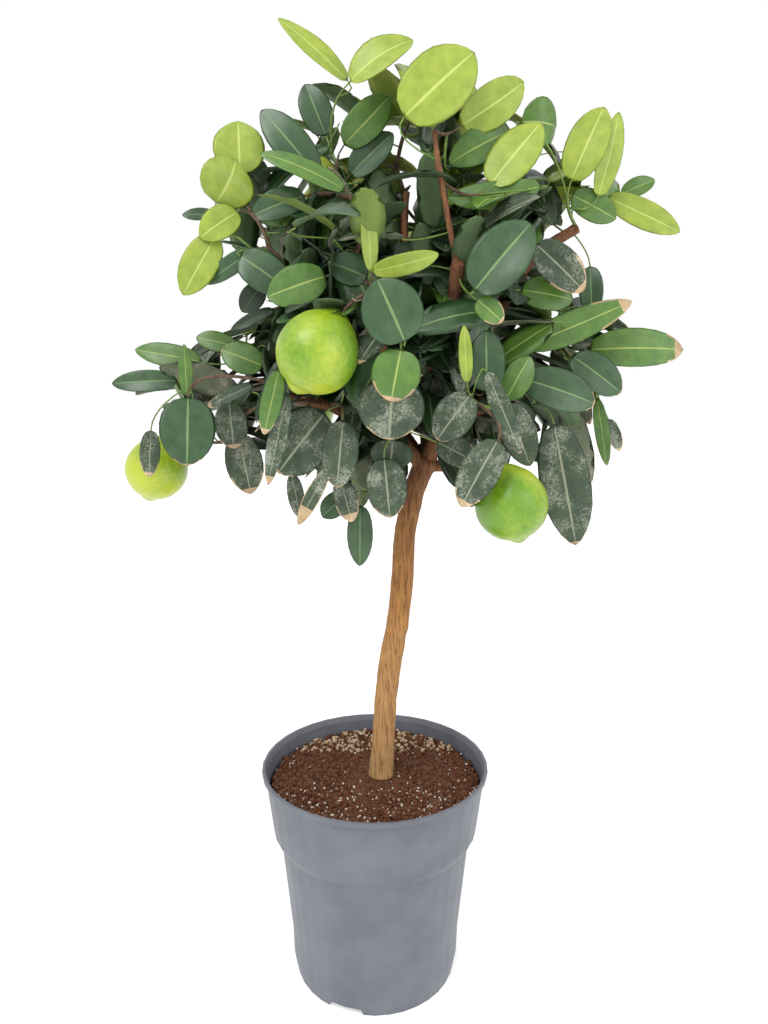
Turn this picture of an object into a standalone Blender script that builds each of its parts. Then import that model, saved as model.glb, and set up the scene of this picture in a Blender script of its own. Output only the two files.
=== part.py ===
"""A young Persian lime tree in a round nursery pot, in metres, +Z up.

The origin is the centre of the pot's underside, on the ground. +X is to the right of the tree's
front view and +Y points away from the viewer.

The pot is one turned wall with a stepped collar, a lipped rim and a notched foot. The potting mix
fills it to just below the rim. The trunk leans a little to the right, up to a fork at 46 cm, from
which the main boughs run up and outwards through the hollow heart of the crown. Round that heart
stand the masses of foliage. Each is a rough ball reaching for the tips of its own longest leaves,
kept off its neighbours by flat seams, with clear channels where boughs run into it.
"""

import math

import bmesh
import bpy
from mathutils import Matrix, Vector, noise

for leftover in list(bpy.data.objects):
    bpy.data.objects.remove(leftover, do_unlink=True)

# Clearance that touching pieces keep
GAP = 0.0003

# Pot
POT_SIDES = 36
RIM_RADIUS = 0.1000
POT_HEIGHT = 0.1928
LIP_DEPTH = 0.0044
LIP_PROUD = 0.0026
WALL = 0.0020
COLLAR_FOOT = (0.0907, 0.1340)
STEP_CREASE = (0.0843, 0.1255)
BODY_FOOT = (0.0757, 0.0390)
HEEL = (0.0750, 0.0140)
FOOT_RADIUS = 0.0722
FLOOR_UNDERSIDE = 0.0060
HUB_RADIUS = 0.0200
DRAIN_HOLES = 6
DRAIN_RADIUS = 0.0050
DRAIN_CIRCLE = 0.0460
NOTCHES = 3
NOTCH_HEIGHT = 0.0065
NOTCH_FOOT_WIDTH = 0.0340
NOTCH_TOP_WIDTH = 0.0280
FIRST_NOTCH = math.radians(-110)

# Potting mix
SOIL_TOP = 0.1780
SOIL_CROWN = 0.1792
SOIL_ROUGHNESS = 0.0014
SOIL_FLAT_RADIUS = 0.0170

# Trunk: (X, Z) of its middle, from the mix up to the fork, with the radius there
TRUNK_FOOT = SOIL_CROWN + GAP
TRUNK_LINE = (
    (0.0053, TRUNK_FOOT, 0.0104),
    (0.0076, 0.2144, 0.0098),
    (0.0095, 0.2511, 0.0096),
    (0.0139, 0.2894, 0.0099),
    (0.0190, 0.3167, 0.0094),
    (0.0240, 0.3613, 0.0095),
    (0.0254, 0.3981, 0.0090),
    (0.0335, 0.4380, 0.0088),
    (0.0440, 0.4630, 0.0094),
)
ROOT_FLARE = 0.0022
FLARE_HEIGHT = 0.012
TRUNK_SIDES = 12
LIMB_SIDES = 8
RING_SPACING = 0.016

# Each bough: its radius at the foot and at the tip, and its line of (X, Y, Z). The first point lies
# inside the limb that it springs from, whose surface trims the bough there.
BOUGHS = {
    "bough_leader": (0.0072, 0.0050, (
        (0.0440, 0.0000, 0.4630), (0.0540, -0.0060, 0.4900), (0.0560, -0.0120, 0.5250),
        (0.0500, -0.0220, 0.5440), (0.0580, -0.0450, 0.5680), (0.0600, -0.0780, 0.6100))),
    "bough_leader_shoot": (0.0026, 0.0019, (
        (0.0597, -0.0740, 0.6050), (0.0560, -0.0800, 0.6230), (0.0520, -0.0800, 0.6410),
        (0.0450, -0.0750, 0.6790), (0.0430, -0.0700, 0.7000))),
    "bough_left_low": (0.0058, 0.0042, (
        (0.0400, 0.0000, 0.4560), (0.0220, -0.0100, 0.4800), (-0.0090, -0.0280, 0.4970),
        (-0.0340, -0.0400, 0.5090), (-0.0640, -0.0450, 0.5160))),
    "bough_left_high": (0.0055, 0.0036, (
        (0.0530, -0.0180, 0.5370), (0.0130, -0.0260, 0.5560), (-0.0250, -0.0330, 0.5810),
        (-0.0480, -0.0360, 0.6030))),
    "bough_front_stub": (0.0046, 0.0042, (
        (0.0200, -0.0245, 0.5530), (0.0130, -0.0600, 0.5470), (-0.0040, -0.1120, 0.5560))),
    "bough_right_stub": (0.0052, 0.0040, (
        (0.0420, 0.0000, 0.4580), (0.0640, -0.0050, 0.4580))),
    "bough_right_low": (0.0050, 0.0036, (
        (0.0540, -0.0060, 0.4900), (0.0740, -0.0300, 0.5020), (0.0860, -0.0560, 0.5080))),
    "bough_right_high": (0.0056, 0.0042, (
        (0.0560, -0.0110, 0.5180), (0.0800, -0.0040, 0.5450), (0.1040, 0.0000, 0.5900),
        (0.1280, 0.0030, 0.6260), (0.1620, 0.0000, 0.6480))),
    "bough_right_out": (0.0042, 0.0034, (
        (0.0780, -0.0045, 0.5420), (0.1100, -0.0080, 0.5520), (0.1520, -0.0130, 0.5600))),
    "bough_back_left": (0.0056, 0.0040, (
        (0.0420, 0.0000, 0.4590), (0.0240, 0.0260, 0.4850), (-0.0050, 0.0500, 0.5200),
        (-0.0380, 0.0680, 0.5600))),
    "bough_back": (0.0050, 0.0036, (
        (0.0440, 0.0000, 0.4620), (0.0420, 0.0280, 0.4960), (0.0340, 0.0540, 0.5340),
        (0.0260, 0.0860, 0.5700))),
    "bough_back_right": (0.0052, 0.0038, (
        (0.0530, -0.0050, 0.4860), (0.0640, 0.0260, 0.5080), (0.0800, 0.0500, 0.5450),
        (0.0960, 0.0700, 0.5780))),
    "bough_top": (0.0050, 0.0030, (
        (0.0500, -0.0220, 0.5440), (0.0330, 0.0020, 0.5900), (0.0240, 0.0100, 0.6400),
        (0.0260, 0.0110, 0.6780))),
}

# Foliage: each mass has its middle, its half-sizes along X, Y and Z, and the tips it reaches for
FOLIAGE = {
    "foliage_top_left": ((-0.014, -0.015, 0.735), (0.046, 0.056, 0.037), (
        (-0.072, -0.015, 0.797), (0.027, -0.040, 0.774), (-0.052, -0.050, 0.740))),
    "foliage_top_right": ((0.072, -0.036, 0.724), (0.052, 0.058, 0.044), (
        (0.043, -0.062, 0.770), (0.073, -0.062, 0.758), (0.112, -0.030, 0.750), (0.143, -0.020, 0.717))),
    "foliage_top_back": ((0.028, 0.078, 0.710), (0.074, 0.060, 0.048), (
        (-0.020, 0.110, 0.752), (0.068, 0.100, 0.768), (0.028, 0.145, 0.718))),
    "foliage_upper_left": ((-0.076, -0.040, 0.686), (0.046, 0.058, 0.038), (
        (-0.097, -0.042, 0.720), (-0.125, -0.050, 0.686), (-0.084, -0.040, 0.725), (-0.072, -0.120, 0.690))),
    "foliage_left_high": ((-0.086, -0.046, 0.612), (0.046, 0.062, 0.034), (
        (-0.143, -0.050, 0.589), (-0.154, -0.005, 0.658), (-0.126, -0.055, 0.597), (-0.082, -0.138, 0.610))),
    "foliage_upper_right": ((0.182, 0.000, 0.680), (0.040, 0.054, 0.040), (
        (0.174, -0.020, 0.735), (0.247, 0.000, 0.642), (0.233, 0.030, 0.692), (0.163, 0.010, 0.634),
        (0.180, 0.070, 0.705))),
    "foliage_right_high": ((0.098, -0.066, 0.650), (0.044, 0.052, 0.046), (
        (0.126, -0.060, 0.708), (0.108, -0.125, 0.632), (0.080, -0.130, 0.665))),
    "foliage_upper_back_left": ((-0.078, 0.080, 0.660), (0.064, 0.066, 0.050), (
        (-0.140, 0.100, 0.690), (-0.100, 0.155, 0.668), (-0.080, 0.070, 0.716))),
    "foliage_upper_back_right": ((0.120, 0.086, 0.652), (0.066, 0.064, 0.050), (
        (0.182, 0.125, 0.668), (0.125, 0.165, 0.650), (0.130, 0.100, 0.722))),
    "foliage_front": ((0.014, -0.112, 0.605), (0.044, 0.048, 0.050), (
        (0.030, -0.178, 0.590), (-0.012, -0.160, 0.640), (0.032, -0.140, 0.655))),
    "foliage_front_left": ((-0.044, -0.112, 0.550), (0.038, 0.050, 0.036), (
        (-0.040, -0.175, 0.548), (-0.080, -0.150, 0.560))),
    "foliage_front_low": ((0.012, -0.108, 0.526), (0.030, 0.042, 0.036), (
        (0.015, -0.160, 0.510), (0.005, -0.120, 0.485))),
    "foliage_front_right": ((0.097, -0.096, 0.562), (0.054, 0.056, 0.042), (
        (0.100, -0.170, 0.560), (0.150, -0.120, 0.540))),
    "foliage_left": ((-0.156, -0.018, 0.510), (0.042, 0.056, 0.040), (
        (-0.212, -0.030, 0.526), (-0.199, 0.000, 0.556), (-0.202, -0.020, 0.452), (-0.166, -0.020, 0.432),
        (-0.124, -0.070, 0.480), (-0.165, -0.100, 0.510))),
    "foliage_left_middle": ((-0.094, -0.034, 0.532), (0.042, 0.058, 0.040), (
        (-0.120, -0.100, 0.540), (-0.112, -0.050, 0.480))),
    "foliage_left_low": ((-0.062, -0.066, 0.472), (0.042, 0.056, 0.042), (
        (-0.054, -0.080, 0.421), (-0.097, -0.050, 0.439), (-0.066, -0.145, 0.470))),
    "foliage_middle_low": ((0.001, -0.056, 0.446), (0.030, 0.040, 0.044), (
        (-0.011, -0.045, 0.380), (0.018, -0.085, 0.424), (0.000, -0.115, 0.440))),
    "foliage_right": ((0.186, -0.012, 0.572), (0.048, 0.060, 0.044), (
        (0.250, -0.015, 0.551), (0.201, -0.030, 0.592), (0.194, -0.030, 0.518), (0.178, 0.000, 0.622),
        (0.205, -0.088, 0.560))),
    "foliage_right_low": ((0.089, -0.086, 0.480), (0.048, 0.058, 0.044), (
        (0.101, -0.100, 0.407), (0.063, -0.100, 0.437), (0.127, -0.095, 0.440), (0.095, -0.155, 0.480))),
    "foliage_right_outer_low": ((0.161, -0.034, 0.470), (0.044, 0.056, 0.046), (
        (0.157, -0.050, 0.397), (0.206, 0.000, 0.468), (0.181, -0.030, 0.450), (0.175, -0.100, 0.472))),
    "foliage_back": ((0.018, 0.128, 0.592), (0.060, 0.056, 0.056), (
        (0.020, 0.202, 0.590), (-0.020, 0.180, 0.630), (0.060, 0.180, 0.560))),
    "foliage_back_left_low": ((-0.098, 0.076, 0.536), (0.060, 0.064, 0.054), (
        (-0.172, 0.095, 0.540), (-0.110, 0.155, 0.510), (-0.100, 0.080, 0.452))),
    "foliage_back_right_low": ((0.130, 0.084, 0.530), (0.060, 0.064, 0.054), (
        (0.205, 0.100, 0.540), (0.140, 0.165, 0.510), (0.130, 0.080, 0.444))),
    "foliage_back_low": ((0.020, 0.076, 0.480), (0.050, 0.046, 0.040), (
        (0.015, 0.130, 0.446), (0.000, 0.070, 0.420))),
}
SEGMENTS = 16
RINGS = 8
ROUGHNESS = 0.16
LUMP_SIZE = 0.55
LEAFINESS = 0.07
TIP_SPREAD = math.radians(20)

# Colours, as linear red, green and blue
POT_GREY = (0.098, 0.105, 0.120)
PEAT_BROWN = (0.060, 0.024, 0.012)
TRUNK_TAN = (0.235, 0.125, 0.052)
BOUGH_BROWN = (0.120, 0.058, 0.028)
YOUNG_GREEN = (0.190, 0.270, 0.035)
LEAF_GREEN = (0.040, 0.095, 0.028)
DUSTY_GREEN = (0.055, 0.080, 0.045)


def material(name, colour, roughness, metallic=0.0):
    """A plain Principled material."""
    made = bpy.data.materials.new(name)
    made.use_nodes = True
    shader = made.node_tree.nodes["Principled BSDF"]
    shader.inputs["Base Color"].default_value = (*colour, 1.0)
    shader.inputs["Roughness"].default_value = roughness
    shader.inputs["Metallic"].default_value = metallic
    made.diffuse_color = (*colour, 1.0)
    return made


def place(name, shape, location, finish, sharp_angle=math.radians(40)):
    """Turns a bmesh into a named, shaded object at its place."""
    mesh = bpy.data.meshes.new(name)
    shape.to_mesh(mesh)
    shape.free()
    if finish:
        mesh.materials.append(finish)
    mesh.shade_smooth()
    mesh.set_sharp_from_angle(angle=sharp_angle)
    piece = bpy.data.objects.new(name, mesh)
    piece.location = location
    bpy.context.scene.collection.objects.link(piece)
    return piece


def hide(cutter):
    """Marks a piece as a cutter, which isn't part of the tree."""
    cutter.hide_render = True
    cutter.display_type = "WIRE"


def cut(piece, cutter):
    """Takes a cutter's shape out of a piece."""
    boolean = piece.modifiers.new(cutter.name, "BOOLEAN")
    boolean.operation = "DIFFERENCE"
    boolean.solver = "EXACT"
    boolean.object = cutter


def turned(profile, sides):
    """Spins a closed outline of (radius, height) about the Z axis."""
    shape = bmesh.new()
    corners = [shape.verts.new((radius, 0.0, height)) for radius, height in profile]
    edges = [shape.edges.new((a, b)) for a, b in zip(corners, corners[1:])]
    if profile[0][0] > 0.0:
        edges.append(shape.edges.new((corners[-1], corners[0])))
    bmesh.ops.spin(
        shape, geom=corners + edges, angle=math.tau, steps=sides,
        axis=(0.0, 0.0, 1.0), cent=(0.0, 0.0, 0.0),
    )
    bmesh.ops.remove_doubles(shape, verts=shape.verts, dist=1e-6)
    bmesh.ops.recalc_face_normals(shape, faces=shape.faces)
    return shape


def prism(lower, upper):
    """A closed block between two outlines with the same number of corners."""
    shape = bmesh.new()
    low = [shape.verts.new(corner) for corner in lower]
    high = [shape.verts.new(corner) for corner in upper]
    shape.faces.new(low)
    shape.faces.new(high)
    for i in range(len(low)):
        j = (i + 1) % len(low)
        shape.faces.new((low[i], low[j], high[j], high[i]))
    bmesh.ops.recalc_face_normals(shape, faces=shape.faces)
    return shape


def inner_wall_radius(height):
    """Radius of the pot's inner wall at a height."""
    stations = ((HEEL[1], HEEL[0]), (BODY_FOOT[1], BODY_FOOT[0]), (STEP_CREASE[1], STEP_CREASE[0]),
                (COLLAR_FOOT[1], COLLAR_FOOT[0]), (POT_HEIGHT, RIM_RADIUS - LIP_PROUD))
    for (low, low_radius), (high, high_radius) in zip(stations, stations[1:]):
        if height <= high:
            share = (height - low) / (high - low)
            return low_radius + share * (high_radius - low_radius) - WALL
    return RIM_RADIUS - LIP_PROUD - WALL


def make_pot(finish):
    """The pot's wall, floor and hub as one turned shell, with drain holes and foot notches cut."""
    collar_top = RIM_RADIUS - LIP_PROUD
    floor_top = FLOOR_UNDERSIDE + WALL
    profile = (
        (0.0, floor_top),
        (inner_wall_radius(HEEL[1]) - 0.0015, floor_top),
        (inner_wall_radius(BODY_FOOT[1]), BODY_FOOT[1]),
        (inner_wall_radius(STEP_CREASE[1]), STEP_CREASE[1]),
        (inner_wall_radius(COLLAR_FOOT[1]), COLLAR_FOOT[1]),
        (collar_top - WALL, POT_HEIGHT - LIP_DEPTH),
        (RIM_RADIUS - LIP_PROUD, POT_HEIGHT),
        (RIM_RADIUS - 0.0004, POT_HEIGHT),
        (RIM_RADIUS, POT_HEIGHT - 0.0008),
        (RIM_RADIUS - 0.0003, POT_HEIGHT - LIP_DEPTH),
        (collar_top - 0.0003, POT_HEIGHT - LIP_DEPTH - 0.0008),
        (COLLAR_FOOT[0], COLLAR_FOOT[1] + 0.0018),
        (COLLAR_FOOT[0] - 0.0018, COLLAR_FOOT[1] - 0.0012),
        STEP_CREASE,
        BODY_FOOT,
        HEEL,
        (FOOT_RADIUS, 0.0),
        (FOOT_RADIUS - WALL - 0.0006, 0.0),
        (FOOT_RADIUS - WALL - 0.0002, FLOOR_UNDERSIDE),
        (HUB_RADIUS + 0.002, FLOOR_UNDERSIDE),
        (HUB_RADIUS, 0.0),
        (0.0, 0.0),
    )
    pot = place("pot", turned(profile, POT_SIDES), (0.0, 0.0, 0.0), finish)
    for i in range(NOTCHES):
        turn = FIRST_NOTCH + i * math.tau / NOTCHES
        inner, outer = FOOT_RADIUS - 0.010, FOOT_RADIUS + 0.010

        def corner(radius, side, height):
            return (radius * math.cos(turn) - side * math.sin(turn),
                    radius * math.sin(turn) + side * math.cos(turn), height)

        ends = []
        for radius in (inner, outer):
            ends.append([corner(radius, side, height) for side, height in (
                (-NOTCH_FOOT_WIDTH / 2, -0.004), (NOTCH_FOOT_WIDTH / 2, -0.004),
                (NOTCH_TOP_WIDTH / 2, NOTCH_HEIGHT - 0.0009),
                (-NOTCH_TOP_WIDTH / 2, NOTCH_HEIGHT - 0.0009))])
        notch = place(f"cutter_notch_{i}", prism(*ends), (0.0, 0.0, 0.0), None)
        hide(notch)
        cut(pot, notch)
    for i in range(DRAIN_HOLES):
        turn = FIRST_NOTCH + (i + 0.5) * math.tau / DRAIN_HOLES
        drill = bmesh.new()
        bmesh.ops.create_cone(drill, cap_ends=True, segments=8, radius1=DRAIN_RADIUS,
                              radius2=DRAIN_RADIUS, depth=4 * FLOOR_UNDERSIDE)
        hole = place(f"cutter_drain_{i}", drill, (DRAIN_CIRCLE * math.cos(turn),
                     DRAIN_CIRCLE * math.sin(turn), FLOOR_UNDERSIDE), None)
        hide(hole)
        cut(pot, hole)


def make_soil(finish):
    """The potting mix: the pot's inside less a clearance, with an uneven top."""
    floor = FLOOR_UNDERSIDE + WALL + GAP
    profile = [
        (0.0, SOIL_CROWN), (SOIL_FLAT_RADIUS, SOIL_CROWN), (0.034, SOIL_TOP), (0.052, SOIL_TOP),
        (0.070, SOIL_TOP), (inner_wall_radius(SOIL_TOP) - 0.006, SOIL_TOP),
        (inner_wall_radius(SOIL_TOP - 0.002) - 2 * GAP, SOIL_TOP - 0.002),
    ]
    for height in (COLLAR_FOOT[1], STEP_CREASE[1], BODY_FOOT[1]):
        profile.append((inner_wall_radius(height) - 2 * GAP, height))
    profile += [(inner_wall_radius(HEEL[1]) - 0.0015 - 2 * GAP, floor), (0.0, floor)]
    shape = turned(profile, POT_SIDES // 2)
    for vert in shape.verts:
        radius = math.hypot(vert.co.x, vert.co.y)
        if vert.co.z > SOIL_TOP - 1e-5 and radius > SOIL_FLAT_RADIUS + 1e-4:
            vert.co.z += SOIL_ROUGHNESS * noise.noise(vert.co * 45.0)
    place("soil", shape, (0.0, 0.0, 0.0), finish)


def smooth_line(points, radii, spacing):
    """Points and radii at about even spacing on a smooth curve through the given points."""
    places, sizes = [points[0]], [radii[0]]
    for i in range(len(points) - 1):
        before, start = points[max(i - 1, 0)], points[i]
        end, after = points[i + 1], points[min(i + 2, len(points) - 1)]
        steps = max(1, round((end - start).length / spacing))
        for k in range(1, steps + 1):
            t = k / steps
            places.append(0.5 * (
                2 * start + (end - before) * t
                + (2 * before - 5 * start + 4 * end - after) * t**2
                + (3 * start - before - 3 * end + after) * t**3))
            sizes.append(radii[i] + (radii[i + 1] - radii[i]) * t)
    return places, sizes


def limb_shape(places, sizes, sides, flare=0.0):
    """A tapering limb: one ring of corners round each place, joined by strips and closed by caps."""
    shape = bmesh.new()
    across = Vector((0.0, 1.0, 0.0))
    rings = []
    for i, place_now in enumerate(places):
        along = (places[min(i + 1, len(places) - 1)] - places[max(i - 1, 0)]).normalized()
        across = (across - along * across.dot(along)).normalized()
        side = along.cross(across)
        widening = flare * math.exp(-(place_now - places[0]).length / FLARE_HEIGHT)
        ring = []
        for k in range(sides):
            angle = k * math.tau / sides
            radius = sizes[i] + widening * (1.0 + 0.45 * math.cos(3 * angle + 0.6))
            ring.append(shape.verts.new(
                place_now + radius * (math.cos(angle) * across + math.sin(angle) * side)))
        rings.append(ring)
    for low, high in zip(rings, rings[1:]):
        for k in range(sides):
            m = (k + 1) % sides
            shape.faces.new((low[k], low[m], high[m], high[k]))
    shape.faces.new(rings[0])
    shape.faces.new(rings[-1])
    bmesh.ops.recalc_face_normals(shape, faces=shape.faces)
    return shape


def make_trunk(finish):
    """The trunk, cut flat where it stands on the mix, and the clearance that others keep from it."""
    points = [Vector((x, 0.0, z)) for x, z, _ in TRUNK_LINE]
    radii = [radius for _, _, radius in TRUNK_LINE]
    root = points[0] - Vector((0.0005, 0.0, 0.010))
    places, sizes = smooth_line(points, radii, RING_SPACING)
    shape = limb_shape([root] + places, [sizes[0]] + sizes, TRUNK_SIDES, ROOT_FLARE)
    below = bmesh.ops.bisect_plane(
        shape, geom=shape.verts[:] + shape.edges[:] + shape.faces[:], plane_co=points[0],
        plane_no=(0.0, 0.0, -1.0), clear_outer=True)
    rim = [item for item in below["geom_cut"] if isinstance(item, bmesh.types.BMEdge)]
    bmesh.ops.edgenet_fill(shape, edges=rim)
    bmesh.ops.recalc_face_normals(shape, faces=shape.faces)
    place("trunk", shape, (0.0, 0.0, 0.0), finish)
    wide = limb_shape([root] + places + [places[-1] + (places[-1] - places[-2]).normalized() * GAP],
                      [sizes[0] + GAP] + [size + GAP for size in sizes] + [sizes[-1] + GAP],
                      TRUNK_SIDES, ROOT_FLARE)
    cutter = place("cutter_trunk", wide, (0.0, 0.0, 0.0), None)
    hide(cutter)
    return {"trunk": cutter}


def comes_near(piece, cutter):
    """Whether the boxes of two pieces overlap."""
    boxes = []
    for thing in (piece, cutter):
        corners = [thing.location + vert.co for vert in thing.data.vertices]
        boxes.append([(min(c[axis] for c in corners), max(c[axis] for c in corners)) for axis in range(3)])
    return all(a[0] < b[1] and b[0] < a[1] for a, b in zip(*boxes))


def make_boughs(finish, clearances):
    """The boughs, each trimmed by the limbs made before it, and the clearance each one keeps."""
    for name, (foot_radius, tip_radius, line) in BOUGHS.items():
        start = Vector(line[0])
        points = [Vector(point) - start for point in line]
        share = [i / (len(points) - 1) for i in range(len(points))]
        radii = [foot_radius + (tip_radius - foot_radius) * s for s in share]
        places, sizes = smooth_line(points, radii, RING_SPACING)
        bough = place(name, limb_shape(places, sizes, LIMB_SIDES), start, finish)
        for earlier in clearances.values():
            if comes_near(bough, earlier):
                cut(bough, earlier)
        ahead = (places[-1] - places[-2]).normalized() * 2 * GAP
        wide = limb_shape(places + [places[-1] + ahead], [size + 2 * GAP for size in sizes + sizes[-1:]],
                          LIMB_SIDES)
        cutter = place(f"cutter_{name}", wide, start, None)
        hide(cutter)
        clearances[name] = cutter


def ball_reach(direction, half_sizes, seed):
    """How far a mass reaches from its middle before tips and seams: a rough, leafy ellipsoid."""
    stretch = math.sqrt(sum((part / half) ** 2 for part, half in zip(direction, half_sizes)))
    where = direction / LUMP_SIZE + Vector((seed * 7.3, seed * 3.1, seed * 1.7))
    rough = 1.0 + ROUGHNESS * noise.noise(where) + LEAFINESS * noise.noise(where * 4.0)
    return rough / stretch


def seams_of(name):
    """The flat seams between a mass and every other: a point on each and its outward direction."""
    middle, halves, _ = FOLIAGE[name]
    middle = Vector(middle)
    found = []
    for other, (other_middle, other_halves, _) in FOLIAGE.items():
        if other == name:
            continue
        apart = Vector(other_middle) - middle
        outward = apart.normalized()
        mine = 1.0 / math.sqrt(sum((part / half) ** 2 for part, half in zip(outward, halves)))
        theirs = 1.0 / math.sqrt(sum((part / half) ** 2 for part, half in zip(outward, other_halves)))
        distance = apart.length * mine / (mine + theirs) - GAP / 2
        found.append((outward, distance))
    return found


def make_foliage(finishes, clearances):
    """Every mass of foliage, with channels for the boughs that run into it."""
    for seed, (name, (middle, halves, tips)) in enumerate(FOLIAGE.items()):
        middle = Vector(middle)
        seams = seams_of(name)
        reaches = [Vector(tip) - middle for tip in tips]
        shape = bmesh.new()
        bmesh.ops.create_uvsphere(
            shape, u_segments=SEGMENTS, v_segments=RINGS, radius=1.0,
            matrix=Matrix.Rotation(math.pi / 2, 4, "X"))

        def held(direction, wanted):
            """The reach in a direction, stopped at the seams."""
            for outward, distance in seams:
                facing = direction.dot(outward)
                if facing > 1e-6:
                    wanted = min(wanted, distance / facing)
            return wanted

        for vert in shape.verts:
            direction = vert.co.normalized()
            ball = ball_reach(direction, halves, seed)
            wanted = ball
            for reach in reaches:
                off = direction.angle(reach)
                lobe = ball + (reach.length - ball) * math.exp(-((off / TIP_SPREAD) ** 2))
                wanted = max(wanted, lobe)
            vert.co = direction * held(direction, wanted)
        shape.verts.ensure_lookup_table()
        for reach in reaches:
            aim = reach.normalized()
            nearest = min(shape.verts, key=lambda vert: vert.co.angle(reach))
            nearest.co = aim * held(aim, reach.length)
        if middle.z > 0.69:
            finish = finishes["young"]
        elif middle.z < 0.53:
            finish = finishes["dusty"]
        else:
            finish = finishes["green"]
        mass = place(name, shape, middle, finish, sharp_angle=math.radians(30))
        size = max(vert.co.length for vert in mass.data.vertices)
        for cutter in clearances.values():
            near = min((cutter.location + vert.co - middle).length for vert in cutter.data.vertices)
            if near < size + 0.005:
                cut(mass, cutter)


def make_tree():
    pot_finish = material("slate grey polypropylene", POT_GREY, 0.55)
    soil_finish = material("moist peat mix", PEAT_BROWN, 0.95)
    trunk_finish = material("tan citrus bark", TRUNK_TAN, 0.80)
    bough_finish = material("brown citrus bark", BOUGH_BROWN, 0.80)
    leaf_finishes = {
        "young": material("young lime leaves", YOUNG_GREEN, 0.45),
        "green": material("grown lime leaves", LEAF_GREEN, 0.40),
        "dusty": material("dusty old lime leaves", DUSTY_GREEN, 0.60),
    }
    make_pot(pot_finish)
    make_soil(soil_finish)
    clearances = make_trunk(trunk_finish)
    make_boughs(bough_finish, clearances)
    make_foliage(leaf_finishes, clearances)


make_tree()
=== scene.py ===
"""A young Persian lime tree in a slate grey nursery pot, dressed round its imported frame.

The trunk and boughs get a skin with the bark's relief. Twigs then grow from that skin to every leaf
and lime by one rule: each new stalk joins the nearest wood that is already there, and wood thickens
with the number of leaves it feeds. The leaves that show best are placed one by one, and the rest of
the crown is filled by a seeded draw inside the masses of foliage. Lengths are in metres.
"""

import math
import random
from typing import NamedTuple

import bmesh
import bpy
import numpy as np
from mathutils import Euler, Matrix, Vector, noise


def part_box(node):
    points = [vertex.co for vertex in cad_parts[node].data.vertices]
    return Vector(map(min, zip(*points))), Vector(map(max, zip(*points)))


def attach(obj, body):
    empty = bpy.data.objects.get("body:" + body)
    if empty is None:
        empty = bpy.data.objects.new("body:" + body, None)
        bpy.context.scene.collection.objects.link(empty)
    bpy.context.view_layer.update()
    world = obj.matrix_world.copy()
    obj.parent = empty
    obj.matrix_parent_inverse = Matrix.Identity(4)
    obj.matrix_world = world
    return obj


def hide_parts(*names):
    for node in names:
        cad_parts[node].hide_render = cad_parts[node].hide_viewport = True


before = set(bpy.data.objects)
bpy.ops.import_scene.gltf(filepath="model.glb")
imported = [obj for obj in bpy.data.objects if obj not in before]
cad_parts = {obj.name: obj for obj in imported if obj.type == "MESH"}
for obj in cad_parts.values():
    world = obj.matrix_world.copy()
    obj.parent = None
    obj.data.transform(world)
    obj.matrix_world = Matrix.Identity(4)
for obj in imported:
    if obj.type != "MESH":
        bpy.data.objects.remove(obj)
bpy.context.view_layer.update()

bpy.ops.object.select_all(action="DESELECT")
draw = random.Random(20)

# View: the lens and its place, as fitted to the pot's rim, step and foot
EYE = Vector((0.008, -0.640, 0.527))
LOOK_DOWN = math.radians(9.6)
FRAME_WIDTH, FRAME_HEIGHT = 768, 1024
LENS_MM, SENSOR_MM = 27.0, 36.0
PIXELS_FOCAL = LENS_MM / SENSOR_MM * FRAME_HEIGHT

MM = 0.001


def seen_at(u, v, depth_mm):
    """The point that shows at pixel (u, v) and lies depth_mm behind the trunk's plane, Y = 0."""
    right = (u - FRAME_WIDTH / 2) / PIXELS_FOCAL
    up = (FRAME_HEIGHT / 2 - v) / PIXELS_FOCAL
    ray = Vector((right, math.cos(LOOK_DOWN) + up * math.sin(LOOK_DOWN),
                  up * math.cos(LOOK_DOWN) - math.sin(LOOK_DOWN)))
    return EYE + ray * ((depth_mm * MM - EYE.y) / ray.y)


def pixel_of(point):
    """The pixel at which a point shows."""
    away = Vector(point) - EYE
    depth = away.y * math.cos(LOOK_DOWN) - away.z * math.sin(LOOK_DOWN)
    up = away.y * math.sin(LOOK_DOWN) + away.z * math.cos(LOOK_DOWN)
    return (FRAME_WIDTH / 2 + PIXELS_FOCAL * away.x / depth,
            FRAME_HEIGHT / 2 - PIXELS_FOCAL * up / depth)


def linear(hex_colour):
    """An sRGB hex value as linear red, green, blue and alpha."""
    parts = [int(hex_colour[i:i + 2], 16) / 255 for i in (0, 2, 4)]
    return tuple(p / 12.92 if p <= 0.04045 else ((p + 0.055) / 1.055) ** 2.4 for p in parts) + (1.0,)


def add(tree, kind, settings=None, stops=(), **inputs):
    """Adds a node with its settings, its (place, hex) stops if it is a colour ramp, and its inputs.

    An input is named by its number, as i0, or by its name. It is a value or another node's output.
    """
    node = tree.nodes.new(kind)
    for name, value in (settings or {}).items():
        setattr(node, name, value)
    if stops:
        marks = node.color_ramp.elements
        while len(marks) < len(stops):
            marks.new(0.5)
        for mark, (place, colour) in zip(marks, stops):
            mark.position = place
            mark.color = linear(colour)
    for name, value in inputs.items():
        socket = node.inputs[int(name[1:])] if name[1:].isdigit() else node.inputs[name.replace("_", " ")]
        if isinstance(value, bpy.types.NodeSocket):
            tree.links.new(value, socket)
        else:
            socket.default_value = value
    return node


def new_finish(name, **shader_values):
    """A material with its Principled shader set to constant values."""
    finish = bpy.data.materials.new(name)
    finish.use_nodes = True
    shader = finish.node_tree.nodes["Principled BSDF"]
    for key, value in shader_values.items():
        shader.inputs[key.replace("_", " ")].default_value = value
    return finish, finish.node_tree, shader


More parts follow.
